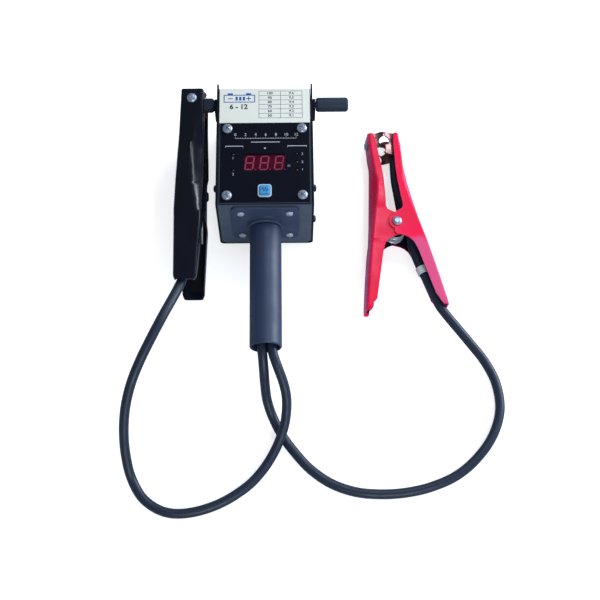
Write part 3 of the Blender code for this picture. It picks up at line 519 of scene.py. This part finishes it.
def merged_copy(node):
    """A CAD node's loose triangles as one mesh, with its flat faces whole."""
    mesh = bmesh.new()
    mesh.from_mesh(frame["nodes"][node].data)
    bmesh.ops.remove_doubles(mesh, verts=mesh.verts, dist=MERGE)
    bmesh.ops.dissolve_limit(
        mesh, angle_limit=math.radians(FLAT_ANGLE), verts=mesh.verts, edges=mesh.edges
    )
    return mesh


def soften(mesh, width, angle=30, segments=2):
    """Rounds the edges that turn by more than an angle."""
    sharp = [
        e for e in mesh.edges
        if len(e.link_faces) == 2 and e.calc_face_angle(0) > math.radians(angle)
    ]
    bmesh.ops.bevel(
        mesh, geom=sharp, offset=width, offset_type="OFFSET", segments=segments,
        profile=0.5, affect="EDGES", material=-1, clamp_overlap=True,
    )


def dress(node, material, width=0.0003, angle=30, segments=2, smooth_angle=40, rides=True):
    """A softly edged copy of a CAD node that takes its place."""
    mesh = merged_copy(node)
    if width:
        soften(mesh, width, angle, segments)
    body = home[node] if rides else None
    made = place_piece(node + "_piece", mesh, material, body, (node,), smooth_angle)
    return made


def coat(material, *names):
    """A finish on CAD nodes whose own mesh is right as it is."""
    for name in names:
        slots = frame["nodes"][name].data.materials
        slots.clear()
        slots.append(material)


print("helpers ready")

# %% Dress the box
coat(board_green, "circuit_board")
coat(switch_black, "button_switch")
coat(nichrome, "load_element")
coat(ceramic, "insulator_left", "insulator_right")
coat(phenolic, "terminal_board")
for node, material, width in (
    ("rear_housing", box_enamel, 0.00025), ("front_cover", cover_enamel, 0.00025),
    ("fascia_panel", fascia_print, 0.0002), ("label_plate", label_metal, 0.00015),
    ("display_lens", lens_red, 0.0003), ("display_module", module_dark, 0.0002),
    ("button_bezel", pale_frame, 0.0003),
    ("test_button", blue_cap, 0.0003), ("handle_flange", flange_enamel, 0.0003),
    ("handle_tube", handle_grip, 0.0003),
    ("peg_base_left", box_enamel, 0.0004), ("peg_base_right", box_enamel, 0.0004),
    ("peg_bolt_left", zinc, 0.0002), ("peg_bolt_right", zinc, 0.0002),
    ("peg_sleeve_left", peg_rubber, 0.0003), ("peg_sleeve_right", peg_rubber, 0.0003),
):
    dress(node, material, width)
for number in (1, 2, 3):
    dress("result_led_%d" % number, led_red, 0.00015, smooth_angle=50)
for number in (1, 2):
    dress("state_led_%d" % number, led_red, 0.00015, smooth_angle=50)

# %% [markdown]
# ## Screws
# Every screw of the box is a pan head with a cross recess. The head is turned on a lathe
# profile and the recess is a tapered cross cut into its crown, once for each size; then it is
# copied to its places. The places and sizes come from the boxes of the CAD screws.


# %% Helpers for screws
def cross_outline(reach, half):
    """A plus sign, as points in the plane."""
    quarter = [(half, half), (half, reach), (-half, reach)]
    points = []
    for c, s in ((1, 0), (0, 1), (-1, 0), (0, -1)):
        points += [(x * c - y * s, x * s + y * c) for x, y in quarter]
    return points


def loft(rings):
    """A closed mesh through rings that have the same number of points."""
    mesh = bmesh.new()
    rows = [[mesh.verts.new(point) for point in ring] for ring in rings]
    for near, far in zip(rows, rows[1:]):
        for i in range(len(near)):
            j = (i + 1) % len(near)
            mesh.faces.new((near[i], near[j], far[j], far[i]))
    mesh.faces.new(rows[0])
    mesh.faces.new(rows[-1])
    bmesh.ops.recalc_face_normals(mesh, faces=mesh.faces)
    return mesh


def stored(mesh, name):
    """An object that holds a bmesh for as long as a modifier needs it."""
    data = bpy.data.meshes.new(name)
    mesh.to_mesh(data)
    mesh.free()
    holder = bpy.data.objects.new(name, data)
    bpy.context.scene.collection.objects.link(holder)
    return holder


def turned(profile, steps=36):
    """A lathe shape about Z from (radius, height) pairs."""
    mesh = bmesh.new()
    ring = [mesh.verts.new((r, 0, h)) for r, h in profile]
    for pair in zip(ring, ring[1:]):
        mesh.edges.new(pair)
    bmesh.ops.spin(mesh, geom=mesh.verts[:] + mesh.edges[:], cent=(0, 0, 0), axis=(0, 0, 1),
                   angle=2 * math.pi, steps=steps, use_merge=True)
    bmesh.ops.remove_doubles(mesh, verts=mesh.verts, dist=1e-7)
    bmesh.ops.recalc_face_normals(mesh, faces=mesh.faces)
    return mesh


print("lathe and recess ready")


# %% The screws
def screw_mesh(head_r, head_h, shank_r, shank_l):
    """A pan-head screw with a cross recess. Its head stands on Z = 0, in metres. The other
    numbers are shares of the head's and the shank's size."""
    wall, crown = head_h * 0.3, head_h * 0.7
    profile = [(0, -shank_l), (shank_r * 0.7, -shank_l), (shank_r, -shank_l + shank_r * 0.5),
               (shank_r, 0), (head_r * 0.96, 0), (head_r, head_h * 0.05), (head_r, wall)]
    for k in range(1, 8):
        angle = math.pi / 2 * k / 7
        profile.append((head_r * math.cos(angle) if k < 7 else 0, wall + crown * math.sin(angle)))
    body = stored(turned(profile), "screw_blank")
    rings = []
    for height, size in ((0.42, 0.62), (0.75, 0.8), (1.1, 1.0)):
        cross = cross_outline(head_r * 0.58 * size, head_r * 0.115 * size)
        rings.append([(x, y, head_h * height) for x, y in cross])
    cutter = stored(loft(rings), "recess")
    change = body.modifiers.new("recess", "BOOLEAN")
    change.operation, change.solver, change.object = "DIFFERENCE", "EXACT", cutter
    graph = bpy.context.evaluated_depsgraph_get()
    done = bpy.data.meshes.new_from_object(body.evaluated_get(graph))
    for holder in (body, cutter):
        bpy.data.objects.remove(holder, do_unlink=True)
    return done


def fit_screw(node, way, head_h, shank_r, twist, metal=zinc):
    """A screw in the place of a CAD one. The way is where its head points."""
    low, high = (Vector(corner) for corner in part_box(node))
    way = Vector(way)
    middle, size = (low + high) / 2, high - low
    length = abs(size.dot(way))
    radius = max(v for v, w in zip(size, way) if not w) / 2
    key = tuple(round(v, 5) for v in (radius, head_h, shank_r, length))
    if key not in screw_meshes:
        screw_meshes[key] = screw_mesh(radius, head_h, shank_r, length - head_h)
    seat = middle + way * (length / 2 - head_h)
    place = Matrix.Translation(seat) @ way.to_track_quat("Z", "Y").to_matrix().to_4x4()
    mesh = bmesh.new()
    mesh.from_mesh(screw_meshes[key])
    bmesh.ops.transform(mesh, matrix=place @ Matrix.Rotation(twist, 4, "Z"), verts=mesh.verts)
    place_piece(node + "_piece", mesh, metal, home[node], (node,), smooth_angle=32)


screw_meshes = {}
for number in range(1, 5):
    fit_screw("fascia_screw_%d" % number, (0, 0, 1), 0.003, 0.002, 0.3 + 0.5 * number)
    fit_screw("flange_screw_%d" % number, (0, -1, 0), 0.0022, 0.0015, 0.4 * number,
              spring_wire)
for number, side in ((1, -1), (2, 1), (3, 1)):
    fit_screw("side_screw_%d" % number, (side, 0, 0), 0.0021, 0.0015, 0.7 * number, screw_black)
print(len(screw_meshes), "kinds of screw")

# %% [markdown]
# ## Printed marks
# The fascia and the label are screen printed: a thin layer of ink stands a little proud. The
# lettering is plain numbers and rules only: a scale on the fascia, and on the label a battery
# picture beside a ruled table of plain numbers. Every mark is a real thin solid, so it keeps
# its edge from close by.

# %% Ink helpers
INK = 0.00006
FIGURE_SHARE = 0.72                     # a figure's height as a share of the font's size


class Ink:
    """Marks of one colour on a plane that faces +Z. Places are in millimetres."""

    def __init__(self, height):
        self.mesh, self.height = bmesh.new(), height

    def patch(self, points):
        """A flat patch within an outline."""
        low, high = self.height - INK, self.height + INK
        part = loft([[(x * MM, y * MM, z) for x, y in points] for z in (low, high)])
        data = bpy.data.meshes.new("ink")
        part.to_mesh(data)
        part.free()
        self.mesh.from_mesh(data)
        bpy.data.meshes.remove(data)

    def bar(self, x0, y0, x1, y1):
        """A rectangle from one corner to the other."""
        self.patch([(x0, y0), (x1, y0), (x1, y1), (x0, y1)])

    def rule(self, x0, y0, x1, y1, width=0.25):
        """A line between two places."""
        along = Vector((x1 - x0, y1 - y0)).normalized()
        across = Vector((-along.y, along.x)) * width / 2
        ends = [Vector((x0, y0)), Vector((x1, y1))]
        self.patch([tuple(p) for p in (ends[0] - across, ends[1] - across, ends[1] + across,
                                       ends[0] + across)])

    def number(self, text, x, y, tall, bold=0.0):
        """Plain figures, centred on a place. Bold ones are swelled by some millimetres."""
        data = bpy.data.curves.new("figures", "FONT")
        data.body, data.size, data.extrude = text, tall * MM / FIGURE_SHARE, INK
        data.align_x, data.align_y, data.resolution_u = "CENTER", "CENTER", 3
        data.offset = bold * MM
        holder = bpy.data.objects.new("figures", data)
        bpy.context.scene.collection.objects.link(holder)
        graph = bpy.context.evaluated_depsgraph_get()
        made = bpy.data.meshes.new_from_object(holder.evaluated_get(graph))
        made.transform(Matrix.Translation((x * MM, y * MM, self.height)))
        self.mesh.from_mesh(made)
        bpy.data.objects.remove(holder, do_unlink=True)
        bpy.data.meshes.remove(made)

    def lay(self, name, material, body):
        """The marks so far as one piece."""
        place_piece(name, self.mesh, material, body, smooth_angle=30, keep_flat=False)
        print(name, "printed")


# %% The battery picture on the label
label_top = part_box("label_plate")[1][2]
blue = Ink(label_top)
# the case and its two posts
for x0, y0, x1, y1 in ((-36, 42.6, -8.4, 43.4), (-36, 49.6, -8.4, 50.4), (-36, 43.4, -35.2, 49.6),
                       (-9.2, 43.4, -8.4, 49.6), (-32.5, 50.4, -28, 52), (-16.4, 50.4, -11.9, 52)):
    blue.bar(x0, y0, x1, y1)
# the minus and the plus, with three bars between them
for x0, y0, x1, y1 in ((-32.4, 46.1, -28.1, 46.9), (-16.3, 46.1, -12, 46.9),
                       (-14.55, 44.4, -13.75, 48.6)):
    blue.bar(x0, y0, x1, y1)
for k in range(3):
    blue.bar(-25.6 + 3.2 * k, 44.6, -23.6 + 3.2 * k, 48.4)
blue.lay("label_picture", blue_print, "tester")

# %% The table on the label
ROW, TABLE_FOOT, TABLE_ROWS = 4.5, 27, 6
dark = Ink(label_top)
dark.number("6 - 12", -22.8, 38.1, 4.8, 0.22)
table_top = TABLE_FOOT + ROW * TABLE_ROWS
for k in range(TABLE_ROWS + 1):
    dark.rule(-5, TABLE_FOOT + ROW * k, 32.9, TABLE_FOOT + ROW * k, 0.3)
for x in (-5, 14, 32.9):
    dark.rule(x, TABLE_FOOT, x, table_top, 0.3)
for k, (left, right) in enumerate((("100", "9.6"), ("90", "9.5"), ("80", "9.4"), ("70", "9.3"),
                                   ("60", "9.2"), ("50", "9.1"))):
    middle = table_top - ROW / 2 - ROW * k
    dark.number(left, 4.5, middle, 2.6, 0.06)
    dark.number(right, 23.5, middle, 2.6, 0.06)
dark.lay("label_table", dark_print, "tester")

# %% Marks on the fascia
SCALE_START, TICK, TICKS_PER_FIGURE, FIGURES = -25.5, 2.2, 4, 7
fascia_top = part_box("fascia_panel")[1][2]
white = Ink(fascia_top)
for k in range(FIGURES):
    white.number(str(2 * k), SCALE_START + TICKS_PER_FIGURE * TICK * k, 10.2, 2.8)
for k in range((FIGURES - 1) * TICKS_PER_FIGURE + 1):
    tall = 1.5 if k % TICKS_PER_FIGURE == 0 else 0.8
    white.rule(SCALE_START + TICK * k, 6.6, SCALE_START + TICK * k, 6.6 + tall, 0.22)
white.rule(-25.6, 6.5, 27.4, 6.5)
white.rule(-11.9, 2.9, 13.2, 2.9, 0.6)
# a bracket above each group of indicators, and a pointer above the display
for x0, x1 in ((-33.9, -18.8), (19.8, 36.1)):
    white.rule(x0, -1.0, x1, -1.0, 0.6)
    white.rule(x0, -1.0, x0, -2.4, 0.3)
    white.rule(x1, -1.0, x1, -2.4, 0.3)
white.patch([(-0.9, -2.6), (0.2, -4.2), (1.3, -2.6)])
# the indicators' numbers
for text, x, y in (("1", -27.3, -12.7), ("2", -27.1, -28.2), ("3", 32.4, -9.0),
                   ("2", 32.4, -16.8), ("1", 32.4, -24.2)):
    white.number(text, x, y, 2.2)
# the sign for direct current
white.rule(19.6, -19.8, 22.0, -19.8, 0.35)
for k in range(3):
    white.rule(19.6 + 0.9 * k, -20.9, 20.1 + 0.9 * k, -20.9, 0.35)
white.lay("fascia_marks", white_print, "tester")
# a painted highlight: a pale line round the lower three sides, where the edge catches light
edge = Ink(fascia_top)
for x0, y0, x1, y1 in ((-38.9, -55.8, 38.9, -55.8), (-38.9, -55.8, -38.9, 20.9),
                       (38.9, -55.8, 38.9, 20.9)):
    edge.rule(x0, y0, x1, y1, 0.4)
edge.lay("fascia_edge_highlight", painted_edge_highlight, "tester")

# %% [markdown]
# ## Display and button
# Behind the tinted window lies a numeric module with three slanted figures of seven bars and
# a point each. The button is a square cap in a pale frame, with the zigzag that stands for a
# load moulded on it, so the zigzag moves with the cap.


# %% Figures and the button's symbol
def seven_bars(ink, x, y, tall, wide, thick, slant):
    """The seven bars and the point of one figure."""
    def lean(points):
        return [(x + px + slant * py, y + py) for px, py in points]

    half, gap = tall / 2, thick * 0.12
    cut = thick / 2
    for level in (-half, 0, half):
        a, b = -wide / 2 + gap, wide / 2 - gap
        ink.patch(lean([(a, level), (a + cut, level - cut), (b - cut, level - cut), (b, level),
                        (b - cut, level + cut), (a + cut, level + cut)]))
    for side in (-wide / 2, wide / 2):
        for low, high in ((-half + gap, -gap), (gap, half - gap)):
            ink.patch(lean([(side, low), (side + cut, low + cut), (side + cut, high - cut),
                            (side, high), (side - cut, high - cut), (side - cut, low + cut)]))
    ring = [(wide * 0.86 + 0.6 * math.cos(k * math.pi / 5),
             -half + 0.1 + 0.6 * math.sin(k * math.pi / 5)) for k in range(10)]
    ink.patch(lean(ring))


figures = Ink(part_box("display_module")[1][2])
for x in (-13.1, -0.4, 12.3):
    seven_bars(figures, x, -16.5, 12.6, 6.6, 1.3, 0.13)
figures.lay("display_figures", segment_red, "tester")
symbol = Ink(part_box("test_button")[1][2])
zigzag = [(-3.5, -44.6), (-2.5, -44.6), (-1.8, -42.7), (-0.6, -46.5), (0.6, -42.7), (1.8, -46.5),
          (2.5, -44.6), (3.5, -44.6)]
for (x0, y0), (x1, y1) in zip(zigzag, zigzag[1:]):
    symbol.rule(x0, y0, x1, y1, 0.75)
symbol.lay("button_symbol", symbol_blue, home["test_button"])

# %% [markdown]
# ## Clamps
# Each clamp is four pressings, three rivets, a spring and a strap. The arms are enamelled
# sheet with rolled edges, so they take a wide bevel; the jaws are copper-plated. The spring's
# coil hangs on the pivot and its two legs press on the two arms.
#
# The red cable arm's enamel is painted pink towards its tail, a painted highlight where its
# gloss mirrors the white room. The mask for that is the distance along the arm, shifted by a
# noise so that its edge is blotchy.


# %% A colour that changes along a handle, for a painted highlight
def build_colour_along_group():
    """A mask that rises from 0 to 1 along an axis, with a blotchy edge."""
    group = bpy.data.node_groups.new("colour_along_mask", "ShaderNodeTree")
    for name, kind in (("Vector", "NodeSocketVector"), ("Axis", "NodeSocketVector"),
                       ("Start", "NodeSocketFloat"), ("End", "NodeSocketFloat")):
        socket(group, name, kind, "INPUT")
    socket(group, "Mask", "NodeSocketFloat", "OUTPUT")
    nodes, links = group.nodes, group.links
    given, out = nodes.new("NodeGroupInput"), nodes.new("NodeGroupOutput")
    along = nodes.new("ShaderNodeVectorMath")
    along.operation = "DOT_PRODUCT"
    links.new(given.outputs["Vector"], along.inputs[0])
    links.new(given.outputs["Axis"], along.inputs[1])
    blotch = nodes.new("ShaderNodeTexNoise")
    blotch.inputs["Scale"].default_value = BLOTCHES_PER_METRE
    blotch.inputs["Detail"].default_value = 3.0
    links.new(given.outputs["Vector"], blotch.inputs["Vector"])
    shift = nodes.new("ShaderNodeMath")
    shift.operation = "MULTIPLY_ADD"
    links.new(blotch.outputs["Fac"], shift.inputs[0])
    shift.inputs[1].default_value = BLOTCH_SHIFT
    links.new(along.outputs["Value"], shift.inputs[2])
    ramp = nodes.new("ShaderNodeMapRange")
    ramp.interpolation_type = "SMOOTHSTEP"
    for source, target in ((shift.outputs[0], "Value"), (given.outputs["Start"], "From Min"),
                           (given.outputs["End"], "From Max")):
        links.new(source, ramp.inputs[target])
    links.new(ramp.outputs["Result"], out.inputs["Mask"])
    return group


def blend_along_axis(material, name, colour, axis, start, end):
    """A copy of a finish that turns into another colour along an axis, in metres."""
    made = material.copy()
    made.name = name
    tree = made.node_tree
    shader = tree.nodes["Principled BSDF"]
    before = shader.inputs["Base Color"].links[0].from_socket
    where = next(node for node in tree.nodes if node.type == "TEX_COORD")
    mask = tree.nodes.new("ShaderNodeGroup")
    mask.node_tree = colour_along_mask
    tree.links.new(where.outputs["Object"], mask.inputs["Vector"])
    mask.inputs["Axis"].default_value = axis
    mask.inputs["Start"].default_value, mask.inputs["End"].default_value = start, end
    mix = tree.nodes.new("ShaderNodeMix")
    mix.data_type = "RGBA"
    tree.links.new(mask.outputs["Mask"], mix.inputs["Factor"])
    tree.links.new(before, mix.inputs[6])
    mix.inputs[7].default_value = linear(*colour)
    tree.links.new(mix.outputs[2], shader.inputs["Base Color"])
    return made


BLOTCHES_PER_METRE, BLOTCH_SHIFT = 110.0, 0.03
colour_along_mask = build_colour_along_group()
TOWARDS_TAIL = (0.08709, -0.99546, 0.03839)
# painted highlight: the red arm turns pink towards its tail, where its gloss mirrors the white
# room
red_painted_highlight = blend_along_axis(
    red_gloss, "red_enamel_painted_highlight", (218, 80, 128), axis=TOWARDS_TAIL, start=0.086, end=0.1
)
print("faded from", red_gloss.name, "to", red_painted_highlight.name)

# %% [markdown]
# The arms' hollow sides get a dark finish: painted shade where shade falls inside them. A
# face lies in the hollow if it looks back across the clamp's middle plane, or back from the web.

# %% Painted shade in the hollows
SHADED_TO, HOLLOW_HALF = 0.071, 0.0075
LOOKS_INWARDS, LOOKS_BACK = -0.6, -0.5


def paint_hollow_shade(piece, shade_finish, pivot, web_way, across_way, side):
    """Gives the faces in an arm's hollow the dark finish, as a second material: painted shade.
    The last of the hollow, towards the tail, keeps the outer colour."""
    mesh = piece.data
    mesh.materials.append(shade_finish)
    tail_way = web_way.cross(across_way)
    for face in mesh.polygons:
        if (face.center - pivot).dot(tail_way) > SHADED_TO:
            continue
        off = (face.center - pivot).dot(across_way)
        facing_web = face.normal.dot(web_way) * side
        facing_middle = face.normal.dot(across_way) * (1 if off > 0 else -1)
        in_web = facing_web < LOOKS_BACK and abs(off) < HOLLOW_HALF
        if facing_middle < LOOKS_INWARDS or in_web:
            face.material_index = 1


print("primer ready for", ", ".join(hollow_shades))

# %% Dress the clamps
joints = {joint["name"]: joint for joint in frame["record"]["behaviour"]["joints"]}
SIDEWAYS = {"black": (-0.05192, -0.13805, 0.98906), "red": (0.98874, 0.08167, -0.12543)}
for colour, paint in (("black", black_gloss), ("red", red_gloss)):
    joint = joints[colour + "_clamp_pivot"]
    pivot, axis = Vector(joint["pos_m"]), Vector(joint["axis"])
    for name, side in (("cable_arm", 1), ("moving_arm", -1)):
        # the red cable arm takes the copy with the painted highlight towards its tail
        outside = red_painted_highlight if (colour, name) == ("red", "cable_arm") else paint
        arm = dress(colour + "_" + name, outside, 0.0005, 35, 3, 50)
        paint_hollow_shade(arm, hollow_shades[colour], pivot, Vector(SIDEWAYS[colour]), axis, side)
    for name in ("cable_jaw", "moving_jaw"):
        dress(colour + "_" + name, copper, 0.0003, 30, 2)
    for name, metal in (("cable_jaw_rivet", zinc), ("moving_jaw_rivet", zinc),
                        ("cable_strap", strap_steel)):
        dress(colour + "_" + name, metal, 0.0001, 40, 1, 50)
    dress(colour + "_pivot_rivet", zinc if colour == "red" else screw_black, 0.0001, 40, 1, 50)
    spring = dress(colour + "_spring", spring_wire, 0, smooth_angle=60, rides=False)
    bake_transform(spring)
    print(colour, "clamp dressed")

# %% [markdown]
# ## Cords
# The cables are soft on the real tester.

print("cables laid")
